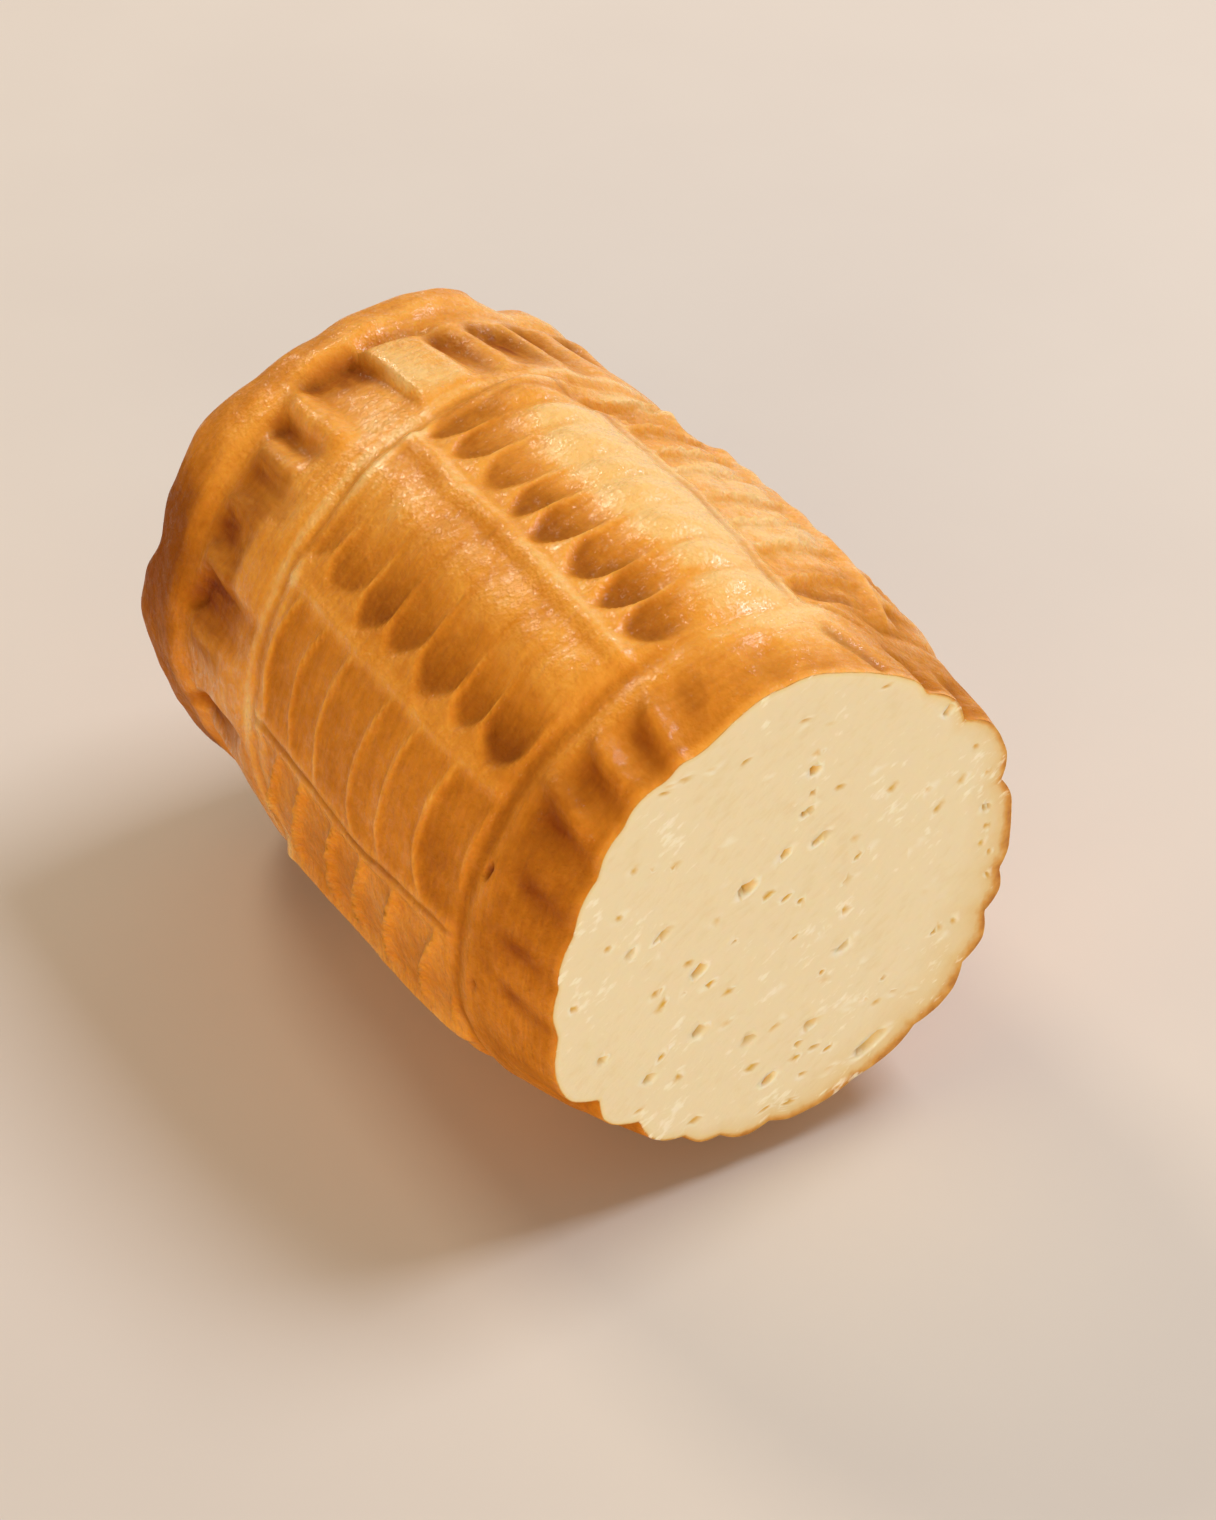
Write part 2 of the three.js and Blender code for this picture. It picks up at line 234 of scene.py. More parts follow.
# Where the soft cheese sags or stands out: place along, half length, angle, half angle and height
SAGS = [
    (66, 50, 46, 45, -0.7),
    (0, 9, 58, 9, -1.8),
    (10, 10, 44, 12, 1.0),
    (38, 9, 57, 28, -3.0),
    (95, 18, 48, 26, -2.3),
    (16, 28, 207, 32, -2.0),
    (88, 34, 214, 38, 1.4),
    (108, 18, 22, 24, 0.9),
    (108, 18, 202, 16, 1.6),
    (108, 18, 320, 28, 1.0),
    (108, 14, 88, 20, 1.0),
    (110, 12, 115, 20, -2.2),
    (110, 14, 155, 30, -1.4),
]

# How brown each part is, from 0 for gold to 1 for dark brown: the smoke's own tone, with painted shade
# that makes it browner towards the low side, more so on the rim, and in the tongues and what is sunk
TONE = {"light": 0.22, "dark": 0.33, "lightest_at": 80, "rim": 0.55, "rim_top": 0.25, "rim_more": 0.8,
        "front": 0.29, "front_fade": 6, "tongue": 0.43, "hollow": 0.13,
        "front_line": 0.25, "front_line_half": 1.8}
# Stain and painted shade on the rim's shaded side
RIM_STAIN_AND_SHADE = {"angle": 172, "half": 30, "from": 1, "to": 8, "stain_and_shade": 0.32}

# Spots that are browner, or lighter below 0: place along, half length, angle, half angle and change.
# The lighter spots high on the lit top are partly painted highlight, and the browner spot low on the
# rim is partly painted shade.
TONE_SPOTS = [
    (6, 17, 159, 28, 0.52),
    (20, 14, 95, 12, -0.1),
    (27, 12, 109, 12, -0.1),
    (20, 13, 122, 14, 0.06),
    (35, 9, 86, 30, 0.28),
    (64, 34, 85, 14, -0.24),
    (68, 30, 62, 24, -0.34),
    (88, 14, 56, 20, 0.24),
    (97, 14, 79, 29, -0.36),
    (98, 14, 152, 26, 0.14),
    (64, 34, 121, 14, 0.06),
]
CUT_EDGE_LIGHT = {"from": 104.9, "lighter": 0.25}
RIM_RING = {"at": 3.0, "half": 3.0, "lighter": 0.18}

# How far hand carving strays from the plan, and the lumps of the skin, each with its size
STRAYS = [(0.7, 0.9, 12), (0.25, 0.4, 4)]
STRAY_SALT = {"along": 10, "angle": 20}
SKIN_LUMPS = [(0.16, 11), (0.1, 4), (0.045, 1.8)]
CRUMPLE = {"height": 0.5, "size": 5, "salt": 7, "from": 36, "to": 74, "start": 36, "end": 96, "fade": 8}

# Each salt moves the noise by this much, so that no two patterns agree
SALT_SHIFT = (17.3, 5.7, 11.1)

# Rows of the lathe on the cap, the rim, the back band, the panels and the front band, and columns round it
ROWS = [10, 24, 40, 116, 32]
COLUMNS_A_PANEL = 32
COLUMN_CUTS = 3
SPIN_STEPS = PANEL_COUNT * COLUMNS_A_PANEL // (COLUMN_CUTS + 1)
LATHE_RADIUS = 40.0
COLUMN_WARP = 0.4
BELT_BLEND = {"past": 3, "fade": 6}

# Points closer than this are one, and vertices past these shares of the radius are on the side or its edge
TOUCH = 0.001
SIDE_SHARE = 0.99
EDGE_SHARE = 0.9999

# Pores of the cut face that stand out, in mm from its middle: across, up, length, width and depth
LARGE_PORES = [
    (-6.4, 6.4, 2.9, 1.6, 1.8),
    (-0.7, 9.6, 2.6, 1.0, 1.2),
    (4.5, 9.9, 2.8, 1.1, 1.0),
    (2.4, 15.0, 2.4, 0.9, 1.0),
    (3.5, 21.0, 2.0, 0.9, 1.0),
    (-13.6, -3.8, 2.4, 1.3, 1.6),
    (9.1, -9.2, 3.2, 1.0, 1.2),
    (-13.4, -13.9, 2.6, 1.1, 1.4),
    (-5.9, -18.4, 2.2, 1.1, 1.2),
    (-19.4, 4.3, 3.0, 0.8, 1.0),
    (-23.9, 3.6, 2.0, 0.9, 1.1),
    (-28.3, -12.1, 1.8, 0.8, 1.0),
    (-21.4, -18.4, 1.8, 1.0, 1.0),
    (-2.5, -26.7, 2.6, 1.4, 1.5),
    (4.3, -20.2, 2.6, 1.1, 1.0),
    (13.9, -27.8, 5.4, 1.6, 2.2),
    (24.0, 22.5, 1.8, 1.0, 1.2),
    (31.0, 4.4, 1.6, 0.9, 1.0),
]
SMALL_PORES = {"count": 80, "length": (0.8, 2.2), "width": (0.5, 0.8), "depth": (0.12, 0.35),
               "inset": 2, "turn": 14, "apart": 0.6}
PORE_WALL = (0.5, 1.05)
PORE_MARGIN = 1.0
PORE_CUTS = 3
PORE_LIP = {"at": 1.3, "half": 0.4, "height": 0.07}
GOLDEN_LINE = {"thin": 0.2, "thick": 2.8, "angle": 325, "half": 105}
PORE_SLANT = 30
PORE_SEED = 11

# The camera stands where the photograph's outline puts it, and this lens gives its frame
CAMERA_AT = (427.67, -263.82, 394.02)
CAMERA_AIM = (13.08, 0.0, 37.78)
CAMERA_LENS = 106.58
CAMERA_SENSOR = 36

# The floor's radius in metres, and the key light's height, turn from +Y and distance in metres
FLOOR = {"radius": 4.0, "corners": 64}
KEY_LIGHT = {"height": 57, "turn": 8, "away": 1.3}

# The sockets of a Mix node that blends colours
MIX_SHARE, MIX_FIRST, MIX_SECOND, MIX_RESULT = 0, 6, 7, 2


def smooth(value, low, high):
    """Rises from 0 at low to 1 at high, with level ends."""
    share = np.clip((value - low) / (high - low), 0, 1)
    return share * share * (3 - 2 * share)


def bump(distance, half):
    """A smooth bump of height 1 at zero that ends at the half width."""
    reach = np.clip(np.abs(distance) / half, 0, 1)
    return 0.5 + 0.5 * np.cos(np.pi * reach)


def plateau(value, low, high, fade):
    """A flat-topped bump between two ends, with faded edges inside them."""
    return smooth(value, low, low + fade) * (1 - smooth(value, high - fade, high))


def uneven(number, salt):
    """A repeatable unevenness between -1 and 1 that looks random. Each salt gives a series of its own."""
    spread = np.sin(number * 12.9898 + salt * 78.233) * 43758.5453
    return 2 * (spread - np.floor(spread)) - 1


def turn_between(start, end):
    """The signed angle from one direction to another."""
    return (end - start + 180) % 360 - 180


def line_at(line, angle):
    return line["at"] + line["lean"] * np.sin(np.radians(angle - line["turn"]))


def lumps(points, size, salt):
    """Smooth noise at each point, between about -1 and 1, with lumps of the given size in mm."""
    shift = Vector([salt * step for step in SALT_SHIFT])
    return np.array([noise.noise(Vector(point) / size + shift) for point in points])


def all_panels():
    """The panels that show, and the rest at even steps round the hidden side."""
    panels = [dict(panel) for panel in SEEN_PANELS]
    last = SEEN_PANELS[-1]["ridge"]
    hidden = PANEL_COUNT - len(SEEN_PANELS) - 1
    step = (LIMB_PANEL["ridge"] - last) / (hidden + 1)
    for k in range(hidden):
        panel = dict(UNSEEN_PANEL)
        panel["ridge"] = last + step * (k + 1)
        panel["centre"] += UNSEEN_VARIES["centre"] * uneven(k, 4)
        panel["lean"] *= uneven(k, 5)
        panel["scoop"] *= 1 + UNSEEN_VARIES["scoop"] * uneven(k, 6)
        panel["mirrored"] = k % 2 == 0
        panels.append(panel)
    panels.append(dict(LIMB_PANEL))
    return panels


PANELS = all_panels()


def ridge_angle(k, along):
    """A panel's first ridge at a place along the barrel. Panel PANEL_COUNT is the first one again."""
    panel = PANELS[k % PANEL_COUNT]
    return panel["ridge"] + 360 * (k // PANEL_COUNT) + panel["drift"] * (along - WIDEST_AT)


def barrel_radius(along, angle):
    back_share = np.maximum(WIDEST_AT - along, 0) / WIDEST_AT
    front_share = np.maximum(along - WIDEST_AT, 0) / (CUT_AT - WIDEST_AT)
    radius = WIDEST_RADIUS - BACK_TAPER * back_share**2 - FRONT_TAPER * front_share**2
    for height, turns, twist, start in WOBBLES:
        radius = radius + height * np.sin(np.radians(turns * angle + twist * along + start))
    return radius


def rim_relief(along, angle):
    groove = line_at(RIM_GROOVE, angle)
    share = np.clip((along - BACK_EDGE_AT) / (groove - BACK_EDGE_AT), 0, 1)
    into_round = np.clip((BACK_EDGE_AT + BACK_EDGE_ROUND - along) / BACK_EDGE_ROUND, 0, 1)
    rounding = BACK_EDGE_ROUND * (1 - np.sqrt(1 - into_round**2))
    turn = turn_between(RIM_CORNER["angle"], angle)
    corner = (1 - smooth(turn, 0, RIM_CORNER["rise"])) * smooth(turn, -RIM_CORNER["drop"], 0)
    corner = corner * (1 - smooth(along, BACK_EDGE_AT, RIM_CORNER["to"]))
    return RIM_ROLL * np.sin(np.pi * share) - rounding + RIM_CORNER["height"] * corner


def rim_shift(along, angle, share):
    """How far the ragged back edge strays along the barrel."""
    turn = np.radians(angle)
    ring = np.column_stack([np.zeros_like(turn), WIDEST_RADIUS * np.cos(turn), WIDEST_RADIUS * np.sin(turn)])
    stray = RIM_EDGE["wave"] * lumps(ring, RIM_EDGE["size"], RIM_EDGE["salt"])
    stray = stray + RIM_EDGE["depth"] * bump(turn_between(RIM_EDGE["notch"], angle), RIM_EDGE["half"])
    return stray * share**3 * (1 - smooth(along, BACK_EDGE_AT, RIM_EDGE["to"]))


def soft_spot(spot, along, angle):
    """A spot that fades out softly, over part of the length and part of the turn."""
    place, half_length, centre, half_angle, height = spot
    return height * bump(along - place, half_length) * bump(turn_between(centre, angle), half_angle)


def sag_relief(along, angle):
    return sum(soft_spot(sag, along, angle) for sag in SAGS)


def front_line(angle):
    """How clear the line before the front band is: it is faint on top, where the skin was rubbed."""
    rubbed = smooth(angle, RUBBED_TOP["from"], RUBBED_TOP["full"])
    rubbed = rubbed * (1 - smooth(angle, RUBBED_TOP["fade"], RUBBED_TOP["to"]))
    return 1 - RUBBED_TOP["share"] * rubbed


def bead(along, angle, offset, half):
    """A rounded line beside the one that starts the belt of panels."""
    return bump(along - line_at(PANEL_BACK, angle) - offset, half)


def groove_relief(along, angle):
    relief = np.zeros_like(along)
    for line, clear in ((RIM_GROOVE, 1), (PANEL_BACK, 1), (PANEL_FRONT, front_line(angle))):
        relief -= line["depth"] * bump(along - line_at(line, angle), line["half"]) * clear
    for offset, half, height in BEADS:
        relief += height * bead(along, angle, offset, half)
    return relief


def back_dents():
    """Every dent of the back band: those that show, and the rest at even steps."""
    dents = list(SEEN_BACK_DENTS)
    rule = UNSEEN_BACK_DENTS
    first = SEEN_BACK_DENTS[-1][0]
    step = (SEEN_BACK_DENTS[0][0] + 360 - first) / (rule["count"] + 1)
    for k in range(rule["count"]):
        angle = first + step * (k + 1)
        start = line_at(RIM_GROOVE, angle) + rule["start"]
        length = rule["length"] * (1 + DENT_VARIES * uneven(k, 1))
        depth = rule["depth"] * (1 + DENT_VARIES * uneven(k, 2))
        stain_and_shade = rule["stain_and_shade"] * (1 + DENT_VARIES * uneven(k, 3))
        slant = rule["slant"] * uneven(k, 7)
        dents.append((angle, rule["half"], start, start + length, depth, stain_and_shade, slant))
    return dents


def dent_relief(along, angle):
    """The dents of the back band, as heights below 0, and the soot and painted shade in them."""
    relief = np.zeros_like(along)
    stain_and_shade = np.zeros_like(along)
    for centre, half, start, end, depth, stain_and_shade_amount, slant in back_dents():
        turn = turn_between(centre, angle)
        aside = plateau(turn, -half - DENT_SPREAD, half + DENT_SPREAD, DENT_SIDE)
        slanted = along + slant * turn
        ramp = np.clip((end - slanted) / (end - start - DENT_WALL), 0, 1)
        floor = DENT_FLOOR * (1 - smooth(slanted, end - DENT_WALL, end)) + (1 - DENT_FLOOR) * ramp
        lengthwise = smooth(slanted, start, start + DENT_WALL) * floor
        relief -= depth * aside * lengthwise
        soot_and_shade = smooth(slanted, start - SOOT_AND_SHADE["before"], start + DENT_WALL)
        soot_and_shade = soot_and_shade * (1 - smooth(slanted, start + DENT_WALL, end + SOOT_AND_SHADE["after"]))
        stain_and_shade = np.maximum(stain_and_shade, stain_and_shade_amount * aside * soot_and_shade)
    return relief, stain_and_shade


def pad_relief(along, angle):
    across = np.clip((angle - PAD["from"]) / (PAD["to"] - PAD["from"]), 0, 1)
    height = PAD["low"] + (PAD["high"] - PAD["low"]) * across
    on_pad = smooth(angle, PAD["from"], PAD["from"] + PAD["side"])
    on_pad = on_pad * (1 - smooth(angle, PAD["to"] - PAD["edge"], PAD["to"] + PAD["edge"]))
    start = PAD["start"] + PAD["slant"] * (angle - PAD["from"])
    lengthwise = smooth(along, start, start + PAD["rise"])
    lengthwise = lengthwise * (1 - smooth(along, PAD["end"] - PAD["fade"], PAD["end"]))
    return height * on_pad * lengthwise


def hollow_relief(along, angle):
    """How deep the hollow beside the pad is, and the stain and painted shade in it and on the pad's wall."""
    ramp = np.clip((along - HOLLOW["start"]) / (HOLLOW["end"] - HOLLOW["start"]), 0, 1)
    depth = HOLLOW["deep"] + (HOLLOW["shallow"] - HOLLOW["deep"]) * ramp ** HOLLOW["curve"]
    across = np.clip((angle - HOLLOW["from"]) / (HOLLOW["to"] - HOLLOW["from"]), 0, 1)
    inside = smooth(angle, HOLLOW["from"] - HOLLOW["before"], HOLLOW["from"] + HOLLOW["after"])
    inside = inside * (1 - smooth(angle, HOLLOW["to"] - HOLLOW["side"], HOLLOW["to"]))
    lengthwise = smooth(along, HOLLOW["start"], HOLLOW["start"] + DENT_WALL)
    lengthwise = lengthwise * (1 - smooth(along, HOLLOW["end"] - HOLLOW["fade"], HOLLOW["end"]))
    shade_to = HOLLOW_STAIN_AND_SHADE["to"] + HOLLOW_STAIN_AND_SHADE["slant"] * (angle - HOLLOW["from"])
    shaded = 1 - smooth(along, shade_to - HOLLOW_STAIN_AND_SHADE["before"], shade_to + HOLLOW_STAIN_AND_SHADE["after"])
    stain_and_shade = HOLLOW_STAIN_AND_SHADE["stain_and_shade"] * shaded * inside * lengthwise
    wall = bump(angle - HOLLOW["from"] - WALL_STAIN_AND_SHADE["aside"], WALL_STAIN_AND_SHADE["half"])
    wall = wall * (1 - smooth(along, shade_to, WALL_STAIN_AND_SHADE["to"]))
    stain_and_shade = np.maximum(stain_and_shade, WALL_STAIN_AND_SHADE["stain_and_shade"] * wall * lengthwise)
    return depth * (1 - HOLLOW["eases"] * across) * inside * lengthwise, stain_and_shade


def back_band_relief(along, angle):
    """The relief of the back band, and its smoke stain and painted shade."""
    dents, dent_stain_and_shade = dent_relief(along, angle)
    hollow, hollow_stain_and_shade = hollow_relief(along, angle)
    tint = plateau(angle, BAND_STAIN_AND_SHADE["from"], BAND_STAIN_AND_SHADE["to"], BAND_STAIN_AND_SHADE["fade"])
    tint = tint * plateau(along - line_at(RIM_GROOVE, angle), 0, BAND_STAIN_AND_SHADE["length"], BAND_STAIN_AND_SHADE["soft"])
    stain_and_shade = np.maximum.reduce([dent_stain_and_shade, hollow_stain_and_shade, BAND_STAIN_AND_SHADE["stain_and_shade"] * tint])
    return dents + pad_relief(along, angle) - hollow, stain_and_shade


def crease_relief(along, angle):
    """The folds and pits of the skin, each along a short straight line, and their stain and painted shade."""
    relief = np.zeros_like(along)
    stain_and_shade = np.zeros_like(along)
    for start, start_angle, end, end_angle, half, depth, stain_and_shade_amount in CREASES:
        run = end - start
        turn = (end_angle - start_angle) * DEGREE_LENGTH
        aside = turn_between(start_angle, angle) * DEGREE_LENGTH
        share = np.clip(((along - start) * run + aside * turn) / (run**2 + turn**2), 0, 1)
        fold = bump(np.hypot(along - start - share * run, aside - share * turn), half)
        relief -= depth * fold
        stain_and_shade = np.maximum(stain_and_shade, stain_and_shade_amount * fold)
    return relief, stain_and_shade


def bar_relief(along, angle):
    relief = np.zeros_like(along)
    for centre, half, start, end, height in BARS:
        lean = FRONT_LEAN * (along - FRONT_LEAN_FROM) if start > WIDEST_AT else 0
        aside = bump(turn_between(centre, angle) - lean, half)
        relief += height * aside * plateau(along, start, end, BAR_END)
    return relief


def front_band_relief(along, angle):
    """The front band's relief and stain, with painted shade. The cut runs through the dents, which notch its
    edge.
    """
    relief = np.zeros_like(along)
    stain_and_shade = np.zeros_like(along)
    for centre, half, start, depth, notch, stain_and_shade_amount in FRONT_DENTS:
        turn = turn_between(centre, angle) - FRONT_LEAN * (along - FRONT_LEAN_FROM)
        rise = smooth(along, start, start + FRONT_DENT_FADE)
        to_cut = smooth(along, start + FRONT_DENT_LENGTH - FRONT_DENT_FADE, CUT_AT)
        sharp = np.clip(1 - np.abs(turn) / half, 0, 1) ** FRONT_DENT_SHARP
        relief -= rise * (depth * bump(turn, half) * (1 - to_cut) + notch * sharp * to_cut)
        patch = bump(turn - FRONT_STAIN_AND_SHADE["turn"], FRONT_STAIN_AND_SHADE["half"] * half)
        patch = patch * rise * (1 - FRONT_STAIN_AND_SHADE["fades"] * to_cut)
        stain_and_shade = np.maximum(stain_and_shade, stain_and_shade_amount * patch)
    return relief, stain_and_shade


def trough(share):
    """A scoop's depth over one lobe: steep after the first crest, and a slow rise to the next."""
    return 1 - np.abs(2 * share ** LOBE["skew"] - 1) ** LOBE["sharp"]


def tongue_end(share, lobe, panel):
    """Where the scoop of a lobe ends across its panel: a leaf's tip, with bright teeth left at its sides."""
    end = LOBE_TIP["end"] + LOBE_TIP["varies"] * uneven(lobe, 12)
    tip = panel["tip"] + LOBE_TIP["aside"] * uneven(lobe, 13)
    left = np.clip(1 - share / tip, 0, 1)
    right = np.clip((share - tip) / (1 - tip), 0, 1)
    return end - panel["point"] * np.maximum(left, right) ** LOBE_TIP["round"]


def lobe_relief(k, along, across):
    """The lobes of one panel, and how brown they are, with painted shade in the tongues and between the
    fingers.
    """
    panel = PANELS[k]
    if panel.get("mirrored"):
        across = 1 - across
    middle = panel["centre"] + panel["lean"] * (across - 0.5) + panel["bow"] * (2 * across - 1) ** 2
    middle = middle + panel["bend"] * (1 - across) ** 3
    steps = (along - middle) / panel["step"] + 0.5
    steps = steps + LOBE["width_varies"] * np.sin(LOBE["width_turn"] * steps + LOBE["width_start"] * k)
    number = np.floor(steps)
    share = steps - number
    lobe = number + MOST_LOBES * k
    depth = panel["scoop"] * (1 + LOBE["varies"] * uneven(lobe, 11))
    from_crest = np.minimum(share, 1 - share) * panel["step"]
    off_line = smooth(from_crest, *LOBE_BROWN["line"])
    if panel["tips"]:
        end = tongue_end(share, lobe, panel)
        inside = 1 - smooth(across, end - LOBE_TIP["wall"], end)
        dip = trough(share) * inside * smooth(across, LOBE["sink_from"], LOBE["deepest"])
        # Painted shade, partly the smoke's tone: the tongues turn browner towards their tips
        brown = inside * off_line * smooth(across, LOBE_BROWN["from"], LOBE_BROWN["to"])
        clear = 1 - panel.get("faint", 0) * (1 - smooth(along, *LOBE_FAINT))
        brown = brown * clear * (1 + LOBE["varies"] * uneven(lobe, 14))
        # Painted shade along the creases between the crown's fingers
        finger = FINGER["brown"] * bump(from_crest, FINGER["half"])
        brown = brown + finger * bump(across - FINGER["at"], FINGER["reach"])
        dip = dip * clear
    else:
        dip = trough(share) * plateau(across, *LOBE_EDGES["dip"])
        # Painted shade: tongueless lobes are browner on one side and lighter towards the next crest
        brown = panel["brown"] * off_line * plateau(across, *LOBE_EDGES["brown"])
        brown = brown * (1 + LOBE_BROWN["fade"] * (0.5 - share))
    crown = bump(across - LOBE["swell_at"], LOBE["swell_half"])
    puff = panel["puff"] * (0.5 - (2 * share - 1) ** 2)
    vein = panel["vein"] * bump(from_crest, VEIN_HALF) * plateau(across, *LOBE_EDGES["vein"])
    return (panel["swell"] + puff) * crown + vein - depth * dip, brown


def panel_relief(along, angle):
    """The relief of the belt of panels, its brown and its dark seams, both partly painted shade."""
    relief = np.zeros_like(along)
    brown = np.zeros_like(along)
    seams = np.zeros_like(along)
    for k in range(PANEL_COUNT):
        first = ridge_angle(k, along)
        width = ridge_angle(k + 1, along) - first
        turn = (angle - first) % 360
        inside = turn < width
        across = turn[inside] / width[inside]
        panel = PANELS[k]
        after = PANELS[(k + 1) % PANEL_COUNT]
        lobes, lobes_brown = lobe_relief(k, along[inside], across)
        ridge = panel["height"] * bump(across, panel["after"])
        ridge += after["height"] * bump(1 - across, after["before"])
        relief[inside] = lobes + ridge
        brown[inside] = lobes_brown + panel.get("tone", 0)
        # Painted shade beside the panel's first ridge
        brown[inside] += panel.get("shade", 0) * bump(across - RIDGE_SHADE["at"], RIDGE_SHADE["half"])
        seams[inside] = panel["seam"] * bump(across, SEAM_HALF) + after["seam"] * bump(1 - across, SEAM_HALF)
    start = line_at(PANEL_BACK, angle)
    end = line_at(PANEL_FRONT, angle)
    pressed = 1 - bump(turn_between(REST["angle"], angle), REST["half"])
    shown = pressed * plateau(along, start - PANEL_EDGE["past"], end + PANEL_EDGE["past"], PANEL_EDGE["fade"])
    return relief * shown, brown * shown, seams * shown


def smoke_and_shade_tone(along, angle, carved, on_rim, tongues, carving):
    """How brown each place is, partly painted shade: more so low down, on the rim and in what is carved deep.
    """
    # Painted shade, partly the smoke's tone: browner towards the low side, away from the light
    low_side = 0.5 - 0.5 * np.cos(np.radians(angle - TONE["lightest_at"]))
    belt_end = line_at(PANEL_FRONT, angle)
    brown = TONE["light"] + (TONE["dark"] - TONE["light"]) * low_side
    brown = brown + TONE["rim"] * on_rim * (TONE["rim_top"] + TONE["rim_more"] * low_side)
    brown = brown + TONE["front"] * smooth(along, belt_end, belt_end + TONE["front_fade"])
    # Painted shade along the groove before the front band, fainter on top
    line = TONE["front_line"] * bump(carved[0] - belt_end, TONE["front_line_half"])
    brown = brown + line * front_line(angle)
    # Painted shade, partly the smoke's tone: browner in the tongues and what is sunk, lighter on what stands
    # out
    brown = brown + TONE["tongue"] * tongues
    brown = brown - TONE["hollow"] * carving
    ring = bump(along - line_at(RIM_GROOVE, angle) + RIM_RING["at"], RIM_RING["half"])
    brown = brown - RIM_RING["lighter"] * ring
    for offset, half, _ in BEADS:
        brown = brown - BEAD_LIGHTER * bead(*carved, offset, half)
    for spot in TONE_SPOTS:
        brown = brown + soft_spot(spot, along, angle)
    return brown - CUT_EDGE_LIGHT["lighter"] * smooth(along, CUT_EDGE_LIGHT["from"], CUT_AT)


def surface(along, angle, points):
    """The moulded surface: its radius, and its brown and stain, both partly painted shade, at each place."""
    carved_along = along
    carved_angle = angle
    for k, (stray_along, stray_angle, size) in enumerate(STRAYS):
        carved_along = carved_along + stray_along * lumps(points, size, STRAY_SALT["along"] + k)
        carved_angle = carved_angle + stray_angle * lumps(points, size, STRAY_SALT["angle"] + k)
    carved = carved_along, carved_angle
    back, back_stain_and_shade = back_band_relief(*carved)
    front, front_stain_and_shade = front_band_relief(along, carved_angle)
    panels, tongues, seams = panel_relief(*carved)
    bars = bar_relief(*carved)
    grooves = groove_relief(*carved)
    creases, crease_stain_and_shade = crease_relief(along, angle)
    radius = barrel_radius(along, angle) + rim_relief(along, angle) + sag_relief(along, angle)
    radius = radius + back + front + panels + bars + grooves + creases
    for salt, (height, size) in enumerate(SKIN_LUMPS):
        radius = radius + height * lumps(points, size, salt)
    crumpled = plateau(angle, CRUMPLE["from"], CRUMPLE["to"], CRUMPLE["fade"])
    crumpled = crumpled * plateau(along, CRUMPLE["start"], CRUMPLE["end"], CRUMPLE["fade"])
    radius = radius + CRUMPLE["height"] * lumps(points, CRUMPLE["size"], CRUMPLE["salt"]) * crumpled
    rim_end = line_at(RIM_GROOVE, angle)
    on_rim = 1 - smooth(along, rim_end - RIM_FADE, rim_end)
    wave = RIM_WAVE["slow"] * lumps(points, RIM_WAVE["slow_size"], RIM_WAVE["slow_salt"])
    wave = wave + RIM_WAVE["quick"] * lumps(points, RIM_WAVE["quick_size"], RIM_WAVE["quick_salt"])
    radius = radius + wave * on_rim
    carving = back + front + panels + grooves + wave * on_rim
    brown = smoke_and_shade_tone(along, angle, carved, on_rim, tongues, carving)
    # Stain and painted shade on the rim's shaded side
    rim_stain_and_shade = RIM_STAIN_AND_SHADE["stain_and_shade"] * (1 - smooth(along, RIM_STAIN_AND_SHADE["from"], RIM_STAIN_AND_SHADE["to"]))
    rim_stain_and_shade = rim_stain_and_shade * bump(turn_between(RIM_STAIN_AND_SHADE["angle"], angle), RIM_STAIN_AND_SHADE["half"])
    stain_and_shade = np.maximum.reduce([back_stain_and_shade, front_stain_and_shade, seams, rim_stain_and_shade, crease_stain_and_shade])
    return radius, brown, stain_and_shade


def reach_of(vert):
    """A vertex's distance from the barrel's axis."""
    return math.hypot(vert.co.y, vert.co.z)


def runs_round(edge):
    """Whether an edge runs round the barrel: its ends are level along it and equally far out."""
    first, second = edge.verts
    level = abs(first.co.x - second.co.x) < TOUCH
    return level and abs(reach_of(first) - reach_of(second)) < TOUCH


